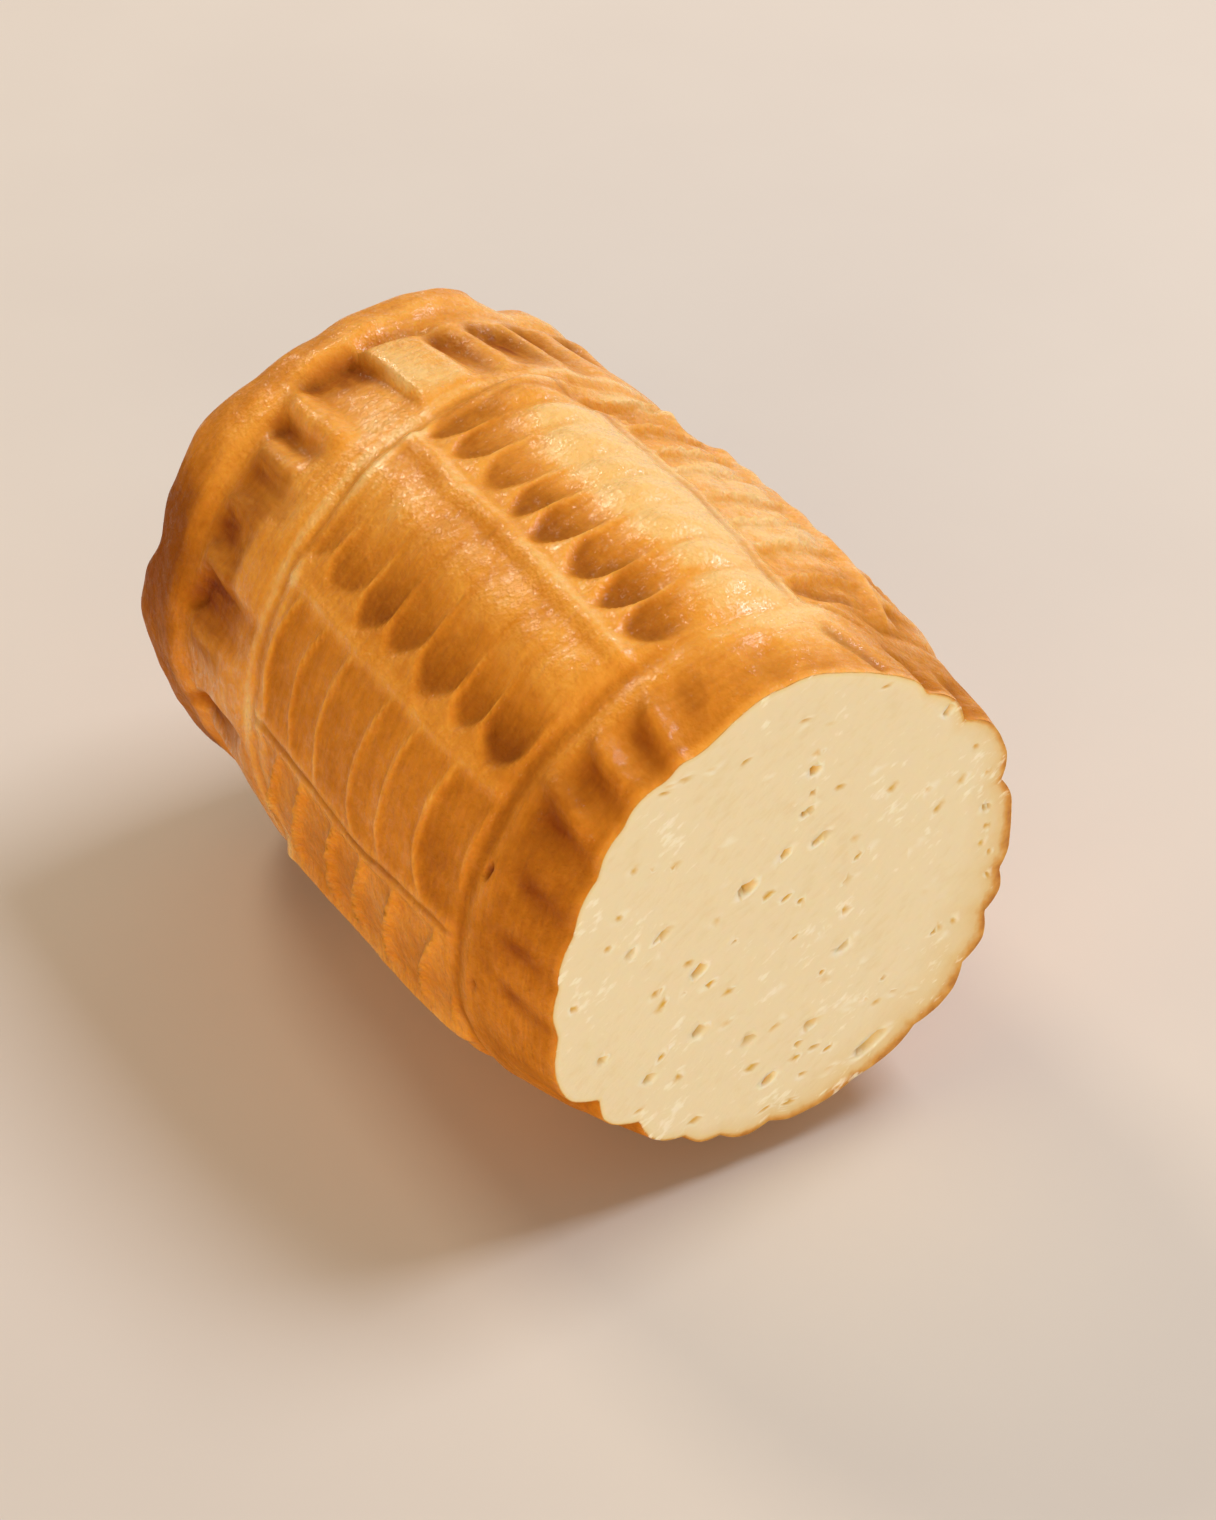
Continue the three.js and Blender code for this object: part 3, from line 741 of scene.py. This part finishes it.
def lathe():
    """A plain barrel: a line of rows spun round the axis, with a grid filled in across the cut."""
    bm = bmesh.new()
    places = [BACK_EDGE_AT, RIM_GROOVE["at"], PANEL_BACK["at"], PANEL_FRONT["at"], CUT_AT]
    stations = [(BACK_EDGE_AT, 0)] + [(place, LATHE_RADIUS) for place in places]
    start = math.radians(PANELS[0]["ridge"])
    line = [bm.verts.new((along, r * math.cos(start), r * math.sin(start))) for along, r in stations]
    stretches = [bm.edges.new(pair) for pair in zip(line, line[1:])]
    for edge, count in zip(stretches, ROWS):
        bmesh.ops.subdivide_edges(bm, edges=[edge], cuts=count - 1)
    bmesh.ops.spin(bm, geom=bm.verts[:] + bm.edges[:], cent=(0, 0, 0), axis=(1, 0, 0), angle=math.tau,
                   steps=SPIN_STEPS, use_merge=True)
    bmesh.ops.remove_doubles(bm, verts=bm.verts, dist=TOUCH)
    rings = [edge for edge in bm.edges if runs_round(edge)]
    bmesh.ops.subdivide_edges(bm, edges=rings, cuts=COLUMN_CUTS)
    for vert in bm.verts:
        reach = reach_of(vert)
        if reach > SIDE_SHARE * LATHE_RADIUS:
            vert.co.yz *= LATHE_RADIUS / reach
    rim = [edge for edge in bm.edges if edge.is_boundary]
    rim.sort(key=lambda edge: math.atan2(edge.verts[0].co.z + edge.verts[1].co.z,
                                         edge.verts[0].co.y + edge.verts[1].co.y))
    quarter = len(rim) // 4
    filled = bmesh.ops.grid_fill(bm, edges=rim[:quarter] + rim[2 * quarter:3 * quarter], mat_nr=1)
    for edge in rim:
        edge.smooth = False
    bmesh.ops.recalc_face_normals(bm, faces=bm.faces)
    return bm, filled["faces"]


def pores():
    """The pores of the cut face: those that stand out, and a seeded scatter of small ones."""
    draw = random.Random(PORE_SEED)
    made = [pore + (PORE_SLANT,) for pore in LARGE_PORES]
    rule = SMALL_PORES
    reach = WIDEST_RADIUS - FRONT_TAPER - rule["inset"]
    while len(made) < len(LARGE_PORES) + rule["count"]:
        across = draw.uniform(-reach, reach)
        up = draw.uniform(-reach, reach)
        length = draw.uniform(*rule["length"])
        width = draw.uniform(*rule["width"])
        depth = draw.uniform(*rule["depth"])
        slant = PORE_SLANT + draw.uniform(-rule["turn"], rule["turn"])
        clear = all(math.hypot(across - p[0], up - p[1]) > (length + p[2]) / 2 + rule["apart"] for p in made)
        if math.hypot(across, up) < reach and clear:
            made.append((across, up, length, width, depth, slant))
    return made


def pore_reach(pore, across, up):
    """How far each place is from a pore's middle, where 1 is the pore's edge."""
    middle_across, middle_up, length, width, _, slant = pore
    turn = math.radians(slant)
    lengthwise = (across - middle_across) * math.cos(turn) + (up - middle_up) * math.sin(turn)
    crosswise = (up - middle_up) * math.cos(turn) - (across - middle_across) * math.sin(turn)
    return np.hypot(lengthwise / (length / 2), crosswise / (width / 2))


def open_pores(bm, faces, all_pores):
    """Divides the cut face finely where its pores go."""
    middles = np.array([face.calc_center_median() for face in faces])
    near = np.zeros(len(faces), bool)
    for pore in all_pores:
        wider = pore[:2] + (pore[2] + PORE_MARGIN, pore[3] + PORE_MARGIN) + pore[4:]
        near |= pore_reach(wider, middles[:, 1], middles[:, 2]) < 1
    edges = dict.fromkeys(edge for face, close in zip(faces, near) if close for edge in face.edges)
    edges = [edge for edge in edges if edge.smooth]
    bmesh.ops.subdivide_edges(bm, edges=edges, cuts=PORE_CUTS, use_grid_fill=True)


def lathe_places(co):
    """Where each vertex of the lathe belongs: its place along the barrel, angle and share of the radius."""
    nominal = co[:, 0]
    even = np.degrees(np.arctan2(co[:, 2], co[:, 1]))
    share = np.minimum(np.hypot(co[:, 1], co[:, 2]) / LATHE_RADIUS, 1)
    ends = [{"at": place, "lean": 0, "turn": 0} for place in (BACK_EDGE_AT, CUT_AT)]
    lines = [ends[0], RIM_GROOVE, PANEL_BACK, PANEL_FRONT, ends[1]]
    along = nominal
    for first, second in zip(lines, lines[1:]):
        part = (nominal - first["at"]) / (second["at"] - first["at"])
        between = line_at(first, even) + part * (line_at(second, even) - line_at(first, even))
        along = np.where(part >= 0, between, along)
    column = (even - PANELS[0]["ridge"]) % 360 / 360 * PANEL_COUNT
    number = np.minimum(np.floor(column).astype(int), PANEL_COUNT - 1)
    across = column - number
    across = across - COLUMN_WARP * np.sin(2 * np.pi * across) / (2 * np.pi)
    on_panel = np.zeros_like(even)
    for k in range(PANEL_COUNT):
        first = ridge_angle(k, along)
        turned = first + across * (ridge_angle(k + 1, along) - first)
        on_panel = np.where(number == k, turned, on_panel)
    start = line_at(PANEL_BACK, even) - BELT_BLEND["past"]
    end = line_at(PANEL_FRONT, even) + BELT_BLEND["past"]
    belt = plateau(along, start, end, BELT_BLEND["fade"])
    angle = even + turn_between(even, on_panel) * belt
    return along, angle % 360, share


def add_object(name, data):
    """Makes an object of a mesh, camera or light, and puts it in the scene."""
    thing = bpy.data.objects.new(name, data)
    bpy.context.scene.collection.objects.link(thing)
    return thing


def set_value(mesh, name, values):
    """Keeps one number for each vertex, which the materials read."""
    layer = mesh.attributes.new(name, "FLOAT", "POINT")
    layer.data.foreach_set("value", np.asarray(values, np.float32))


def cut_pores(x, across, up, share, on_face, all_pores):
    """Sinks the pores into the cut face, and says how far each place is in a pore and how torn it is."""
    pore = np.zeros_like(x)
    torn = np.zeros_like(x)
    for one in all_pores:
        depth = one[4]
        reach = pore_reach(one, across, up)
        sunk = np.where(on_face & (share < EDGE_SHARE), 1 - smooth(reach, *PORE_WALL), 0)
        lip = np.where(on_face & (share < SIDE_SHARE), bump(reach - PORE_LIP["at"], PORE_LIP["half"]), 0)
        x = x + (PORE_LIP["height"] * lip - depth * sunk)
        pore = np.maximum(pore, sunk)
        torn = np.maximum(torn, lip)
    return x, pore, torn


def make_cheese():
    bm, face_grid = lathe()
    all_pores = pores()
    open_pores(bm, face_grid, all_pores)
    for face in bm.faces:
        face.smooth = True
    mesh = bpy.data.meshes.new("cheese_body")
    bm.to_mesh(mesh)
    bm.free()

    co = np.zeros(len(mesh.vertices) * 3)
    mesh.vertices.foreach_get("co", co)
    co = co.reshape(-1, 3)
    along, angle, share = lathe_places(co)
    turn = np.radians(angle)
    plain = barrel_radius(along, angle)
    points = np.column_stack([along, plain * np.cos(turn), plain * np.sin(turn)])
    radius, brown, stain_and_shade = surface(along, angle, points)

    on_cap = (share < EDGE_SHARE) & (along < WIDEST_AT)
    on_face = along > CUT_AT - TOUCH
    from_rim = np.where(on_cap, 1 - share**2, 0)
    brown = brown + from_rim * (CAP["tone"] - brown)
    stain_and_shade = stain_and_shade * (1 - from_rim)
    dished = CAP["lumps"] * lumps(points * share[:, None], CAP["lump_size"], CAP["salt"])
    x = along - MIDDLE_AT - from_rim * (BACK_BULGE + dished) + rim_shift(along, angle, share)
    across = share * radius * np.cos(turn)
    up = share * radius * np.sin(turn)
    x, pore, torn = cut_pores(x, across, up, share, on_face, all_pores)
    z = np.maximum(AXIS_HEIGHT + up, 0)
    co = np.column_stack([x, across, z]) * MM
    mesh.vertices.foreach_set("co", co.astype(np.float32).ravel())
    thickness = bump(turn_between(GOLDEN_LINE["angle"], angle), GOLDEN_LINE["half"])
    thickness = GOLDEN_LINE["thin"] + (GOLDEN_LINE["thick"] - GOLDEN_LINE["thin"]) * thickness
    edge = (1 - share) * radius / thickness
    for name, values in {"brown": brown, "stain_and_shade": stain_and_shade, "edge": edge, "pore": pore, "torn": torn}.items():
        set_value(mesh, name, values)
    mesh.update()

    body = add_object("cheese_body", mesh)
    mesh.materials.append(smoked_rind())
    mesh.materials.append(pressed_curd())
    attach(body, "root")
    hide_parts("cheese")


def linear(hex_colour):
    """An sRGB hex colour as linear values for a shader socket."""
    values = [int(hex_colour[i:i + 2], 16) / 255 for i in (1, 3, 5)]
    return [v / 12.92 if v <= 0.04045 else ((v + 0.055) / 1.055) ** 2.4 for v in values] + [1.0]


def plug(tree, node, inputs):
    """Sets each input of a node to a value, or links it to a socket or to a node's first output."""
    for name, source in inputs.items():
        if isinstance(source, bpy.types.Node):
            source = source.outputs[0]
        if isinstance(source, bpy.types.NodeSocket):
            tree.links.new(source, node.inputs[name])
        else:
            node.inputs[name].default_value = source


def add_node(tree, kind, inputs=None, stops=None, **settings):
    """Adds a shader node with its settings, its inputs and the stops of a ramp."""
    node = tree.nodes.new("ShaderNode" + kind)
    for name, value in settings.items():
        setattr(node, name, value)
    plug(tree, node, inputs or {})
    for place, colour in stops or []:
        first = len(node.color_ramp.elements) == 2 and place == 0
        stop = node.color_ramp.elements[0] if first else node.color_ramp.elements.new(place)
        stop.color = linear(colour)
    if stops:
        node.color_ramp.elements.remove(node.color_ramp.elements[-1])
    return node


def new_material(name):
    material = bpy.data.materials.new(name)
    material.use_nodes = True
    tree = material.node_tree
    return material, tree, tree.nodes["Principled BSDF"]


def per_mm(size):
    """A texture scale whose features have this size in mm, for coordinates in metres."""
    return 1 / (size * MM)


def smoked_rind():
    """Smoked cheese rind: a waxy, greasy skin, golden where it stands out, browner and duller where sunk."""
    material, tree, shader = new_material("smoked_cheese_rind")
    place = add_node(tree, "TexCoord").outputs["Object"]
    kept = [add_node(tree, "Attribute", attribute_name=name) for name in ("brown", "stain_and_shade")]
    brown, stain_and_shade = [node.outputs["Fac"] for node in kept]
    blotch = add_node(tree, "TexNoise", {"Vector": place, "Scale": per_mm(11), "Detail": 5.0})
    mottle = add_node(tree, "TexNoise", {"Vector": place, "Scale": per_mm(3), "Detail": 4.0})
    speckle = add_node(tree, "TexNoise", {"Vector": place, "Scale": per_mm(1.1), "Detail": 3.0})
    fibre_place = add_node(tree, "Mapping", {"Vector": place, "Scale": (1, 0.12, 0.12)})
    fibres = add_node(tree, "TexNoise", {"Vector": fibre_place, "Scale": per_mm(0.9), "Detail": 3.0})
    # The tone carries painted shade as well as the smoke's own colour
    tone = brown
    for pattern, strength in ((blotch, 0.5), (mottle, 0.25), (speckle, 0.2), (fibres, 0.2)):
        centred = add_node(tree, "Math", {0: pattern, 1: 0.5}, operation="SUBTRACT")
        tone = add_node(tree, "Math", {0: centred, 1: strength, 2: tone}, operation="MULTIPLY_ADD")
    stops = [(0, "#FFC878"), (0.2, "#F5A63C"), (0.4, "#E18D26"), (0.65, "#BF711C"), (0.95, "#975111")]
    gold = add_node(tree, "ValToRGB", {0: tone}, stops)
    streak_place = add_node(tree, "Mapping", {"Vector": place, "Scale": (0.12, 1, 1)})
    streak = add_node(tree, "TexNoise", {"Vector": streak_place, "Scale": per_mm(1.8), "Detail": 2.0})
    streaked = add_node(tree, "MapRange",
                        {"Value": streak, "From Min": 0.35, "From Max": 0.65, "To Min": 0.55})
    # Stain and painted shade darken the colour towards a deep brown
    smoke_and_shade = add_node(tree, "Math", {0: stain_and_shade, 1: streaked}, operation="MULTIPLY")
    colour = add_node(tree, "Mix", {MIX_SHARE: smoke_and_shade, MIX_FIRST: gold, MIX_SECOND: linear("#84390F")},
                      data_type="RGBA")
    creases = add_node(tree, "TexNoise", {"Vector": place, "Scale": per_mm(2.6), "Detail": 3.0})
    grain = add_node(tree, "TexNoise", {"Vector": place, "Scale": per_mm(0.65), "Detail": 2.0})
    skin = add_node(tree, "Bump", {"Height": creases, "Strength": 0.5, "Distance": 0.5 * MM})
    for relief, height in ((fibres, 0.25), (grain, 0.22)):
        raised = {"Height": relief, "Strength": 0.6, "Distance": height * MM, "Normal": skin}
        skin = add_node(tree, "Bump", raised)
    dull = add_node(tree, "Math", {0: stain_and_shade, 1: tone}, operation="MAXIMUM")
    gloss, shine, grease = [
        add_node(tree, "MapRange", {"Value": dull, **span})
        for span in (
            {"From Min": 0.1, "From Max": 0.65, "To Min": 0.27, "To Max": 0.62},
            {"From Min": 0.1, "From Max": 0.6, "To Min": 0.3, "To Max": 0.05},
            {"From Min": 0.15, "From Max": 0.6, "To Min": 0.85, "To Max": 0.2},
        )
    ]
    bead_place = add_node(tree, "Mapping", {"Vector": place, "Scale": (1, 0.4, 0.4)})
    beads = add_node(tree, "TexNoise", {"Vector": bead_place, "Scale": per_mm(0.3), "Detail": 1.0})
    beaded = add_node(tree, "Bump", {"Height": beads, "Strength": 1.0, "Distance": 0.16 * MM})
    specks = add_node(tree, "TexNoise", {"Vector": place, "Scale": per_mm(1.3), "Detail": 2.0})
    scattered = add_node(tree, "MapRange", {"Value": specks, "From Min": 0.44, "From Max": 0.6})
    greasy = add_node(tree, "Math", {0: grease, 1: scattered}, operation="MULTIPLY")
    plug(tree, shader, {
        "Base Color": colour.outputs[MIX_RESULT],
        "Roughness": gloss,
        "Specular IOR Level": shine,
        "IOR": 1.45,
        "Normal": skin,
        "Coat Weight": greasy,
        "Coat Roughness": 0.1,
        "Coat IOR": 1.45,
        "Coat Tint": linear("#FFF9EA"),
        "Coat Normal": beaded,
        "Subsurface Weight": 0.2,
        "Subsurface Radius": (1.0, 0.4, 0.12),
        "Subsurface Scale": 1.4 * MM,
    })
    return material


def pressed_curd():
    """Pressed curd: a dense, pale cream paste that light sinks into, with a golden line under the rind."""
    material, tree, shader = new_material("pressed_cheese_curd")
    place = add_node(tree, "TexCoord").outputs["Object"]
    kept = [add_node(tree, "Attribute", attribute_name=name) for name in ("edge", "pore", "torn")]
    edge, pore, torn = [node.outputs["Fac"] for node in kept]
    ragged = add_node(tree, "TexNoise", {"Vector": place, "Scale": per_mm(2.5), "Detail": 3.0})
    inward = add_node(tree, "Math", {0: ragged, 1: -1.2, 2: edge}, operation="MULTIPLY_ADD")
    under_rind = add_node(tree, "MapRange", {"Value": inward, "From Min": -0.7, "From Max": 3.3})
    stops = [(0, "#A9661C"), (0.11, "#D7A04C"), (0.22, "#E6CD9A"), (0.4, "#EBDAB4"), (0.95, "#F0E4C8")]
    rind_line = add_node(tree, "ValToRGB", {0: under_rind}, stops)
    slanted = add_node(tree, "Mapping",
                       {"Vector": place, "Rotation": (math.radians(PORE_SLANT), 0, 0), "Scale": (1, 2.5, 1)},
                       vector_type="TEXTURE")
    crumb = add_node(tree, "TexNoise", {"Vector": slanted, "Scale": per_mm(0.9), "Detail": 3.0})
    patches = add_node(tree, "TexNoise", {"Vector": place, "Scale": per_mm(9), "Detail": 2.0})
    crumbly = add_node(tree, "Math", {0: patches, 1: 0.9, 2: crumb}, operation="MULTIPLY_ADD")
    flecks, smears = [
        add_node(tree, "MapRange", {"Value": crumbly, **span})
        for span in (
            {"From Min": 1.1, "From Max": 1.24, "To Max": 0.75},
            {"From Min": 0.88, "From Max": 0.62, "To Max": 0.35},
        )
    ]
    crumbled = add_node(tree, "Math", {0: torn, 1: 0.5}, operation="MULTIPLY", use_clamp=True)
    colour = rind_line
    for share, tint, blend in (
        (flecks, "#FFF8E8", "MIX"),
        (smears, "#E5D2A7", "DARKEN"),
        (crumbled, "#FFFDF4", "MIX"),
        (pore, "#DDB23C", "MIX"),
    ):
        colour = add_node(tree, "Mix", {MIX_SHARE: share, MIX_FIRST: colour, MIX_SECOND: linear(tint)},
                          data_type="RGBA", blend_type=blend).outputs[MIX_RESULT]
    knife = add_node(tree, "Bump", {"Height": crumbly, "Strength": 0.35, "Distance": 0.25 * MM})
    plug(tree, shader, {
        "Base Color": colour,
        "Roughness": 0.5,
        "IOR": 1.45,
        "Normal": knife,
        "Subsurface Weight": 0.5,
        "Subsurface Radius": (1.0, 0.7, 0.4),
        "Subsurface Scale": 2.5 * MM,
    })
    return material


def pale_plaster():
    """Smooth pale plaster for the floor: matt, and nearly even in tone."""
    material, tree, shader = new_material("pale_plaster")
    place = add_node(tree, "TexCoord").outputs["Object"]
    cloud = add_node(tree, "TexNoise", {"Vector": place, "Scale": per_mm(60), "Detail": 4.0})
    tint = add_node(tree, "ValToRGB", {0: cloud}, [(0, "#DACBBB"), (0.95, "#E1D3C2")])
    plug(tree, shader, {"Base Color": tint, "Roughness": 0.8})
    return material


def make_floor():
    bm = bmesh.new()
    bmesh.ops.create_circle(bm, cap_ends=True, segments=FLOOR["corners"], radius=FLOOR["radius"])
    mesh = bpy.data.meshes.new("floor")
    bm.to_mesh(mesh)
    bm.free()
    mesh.materials.append(pale_plaster())
    floor = add_object("floor", mesh)


def aim(thing, target):
    thing.rotation_euler = (Vector(target) - thing.location).to_track_quat("-Z", "Y").to_euler()


def make_camera():
    camera = add_object("camera", bpy.data.cameras.new("camera"))
    camera.data.lens = CAMERA_LENS
    camera.data.sensor_width = CAMERA_SENSOR
    camera.location = Vector(CAMERA_AT) * MM
    aim(camera, Vector(CAMERA_AIM) * MM)
    bpy.context.scene.camera = camera


def soft_light(name, place, target, size, power, colour):
    light = bpy.data.lights.new(name, "AREA")
    light.shape = "RECTANGLE"
    light.size, light.size_y = size
    light.energy = power
    light.color = linear(colour)[:3]
    lamp = add_object(name, light)
    lamp.location = place
    aim(lamp, target)


def light_scene():
    scene = bpy.context.scene
    scene.view_settings.view_transform = "Standard"
    middle = (0, 0, AXIS_HEIGHT * MM)
    height = math.radians(KEY_LIGHT["height"])
    turn = math.radians(KEY_LIGHT["turn"])
    level = KEY_LIGHT["away"] * math.cos(height)
    key_from = (level * math.sin(turn), level * math.cos(turn), KEY_LIGHT["away"] * math.sin(height))
    soft_light("key", key_from, middle, size=(0.55, 0.45), power=12.1, colour="#E4ECFD")
    soft_light("front_fill", (1.25, -0.88, 0.42), middle, size=(1.6, 0.6), power=16.2, colour="#FFE7B8")
    soft_light("back_glow", (-0.9, 1.2, 0.42), middle, size=(1.5, 0.7), power=4.4, colour="#FFEBD8")
    soft_light("sheen", (-0.95, -0.05, 0.85), middle, size=(0.3, 0.25), power=4.6, colour="#FFF1DC")
    world = bpy.data.worlds.new("studio")
    world.use_nodes = True
    sky = world.node_tree.nodes["Background"]
    sky.inputs["Color"].default_value = linear("#FFFFFC")
    sky.inputs["Strength"].default_value = 0.2
    scene.world = world


make_camera()
make_cheese()
make_floor()
light_scene()
